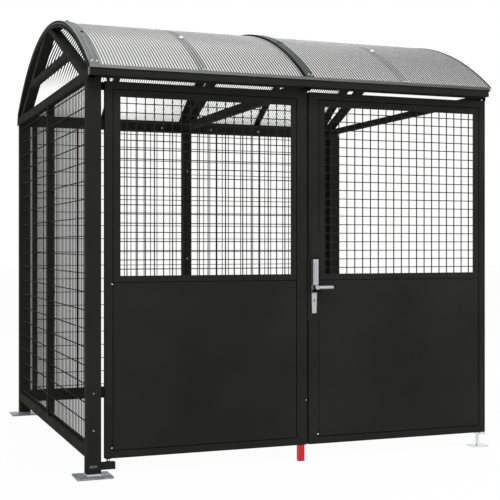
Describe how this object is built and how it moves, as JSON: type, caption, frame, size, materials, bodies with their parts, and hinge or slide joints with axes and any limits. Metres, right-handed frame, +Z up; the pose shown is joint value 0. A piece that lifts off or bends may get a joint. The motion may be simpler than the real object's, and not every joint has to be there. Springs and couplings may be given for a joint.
{
  "type": "bicycle shelter",
  "caption": "Bicycle shelter with an arched translucent roof, mesh walls and a pair of lockable outward-opening steel doors with mesh upper halves.",
  "frame": {"origin": "on the ground, in the middle of the bounding box", "axes": "+Z up, -Y towards the door side, +X to the right when facing the doors"},
  "size_m": [2.614, 3, 2.639],
  "materials": {
    "black_paint": "near-black satin powder coat",
    "galvanised": "dull galvanised steel",
    "roof_sheet": "translucent fluted plastic sheet",
    "grey_trim": "plain grey aluminium",
    "red_paint": "red gloss coat",
    "stainless": "satin stainless steel"
  },
  "bodies": {
    "frame": {"front_left_foot": "galvanised", "back_left_foot": "galvanised", "back_right_foot": "galvanised", "front_right_foot": "galvanised", "front_left_post": "black_paint", "back_left_post": "black_paint", "back_right_post": "black_paint", "front_right_post": "black_paint", "back_top_beam": "black_paint", "back_bottom_beam": "black_paint", "back_mid_upright": "black_paint", "back_left_mesh": "black_paint", "back_right_mesh": "black_paint", "side_bottom_rail": "black_paint", "side_mid_upright": "black_paint", "side_wall_mesh": "black_paint", "left_tie": "black_paint", "mid_tie": "black_paint", "right_tie": "black_paint", "left_front_rafter": "black_paint", "left_back_rafter": "black_paint", "mid_front_rafter": "black_paint", "mid_back_rafter": "black_paint", "right_front_rafter": "black_paint", "right_back_rafter": "black_paint", "left_collar": "black_paint", "hoop_1": "black_paint", "hoop_2": "black_paint", "hoop_3": "black_paint", "hoop_4": "black_paint", "hoop_5": "black_paint", "left_roof_sheet": "roof_sheet", "right_roof_sheet": "roof_sheet", "left_edge_cap": "grey_trim", "centre_joint_cap": "black_paint", "front_gutter": "black_paint", "front_lip": "grey_trim", "rear_gutter": "black_paint", "left_bottom_pivot": "black_paint", "right_bottom_pivot": "black_paint", "left_top_pivot": "black_paint", "right_top_pivot": "black_paint"},
    "left_door": {"left_door_hinge_stile": "black_paint", "left_door_meeting_stile": "black_paint", "left_door_top_rail": "black_paint", "left_door_bottom_rail": "black_paint", "left_door_lower_panel": "black_paint", "left_door_mesh_panel": "black_paint"},
    "right_door": {"right_door_hinge_stile": "black_paint", "right_door_meeting_stile": "black_paint", "right_door_top_rail": "black_paint", "right_door_bottom_rail": "black_paint", "right_door_lower_panel": "black_paint", "right_door_mesh_panel": "black_paint", "lock_cover": "black_paint", "lock_plate": "stainless"},
    "drop_bolt_body": {"drop_bolt": "red_paint"},
    "lever": {"lever_handle": "stainless"},
    "latch": {"latch_bolt": "stainless"}
  },
  "joints": [
    {"name": "left_door_swing", "type": "hinge", "parent": "frame", "child": "left_door", "pos_m": [-1.13, -1.366, 0.1], "axis": [0, 0, -1], "range_deg": [0, 100]},
    {"name": "right_door_swing", "type": "hinge", "parent": "frame", "child": "right_door", "pos_m": [1.14, -1.366, 0.1], "axis": [0, 0, 1], "range_deg": [0, 100]},
    {"name": "drop_bolt_lift", "type": "slide", "parent": "left_door", "child": "drop_bolt_body", "axis": [0, 0, 1], "range_m": [0, 0.09]},
    {"name": "lever_press", "type": "hinge", "parent": "right_door", "child": "lever", "pos_m": [0.04, -1.394, 1.003], "axis": [0, 1, 0], "range_deg": [0, 40], "stiffness_Nm_per_rad": 1.5, "springref_deg": -20.05},
    {"name": "latch_slide", "type": "slide", "parent": "right_door", "child": "latch", "axis": [1, 0, 0], "range_m": [0, 0.008]}
  ],
  "couplings": [
    {"joint": "latch_slide", "follows": "lever_press", "m_per_rad": 0.01145}
  ]
}
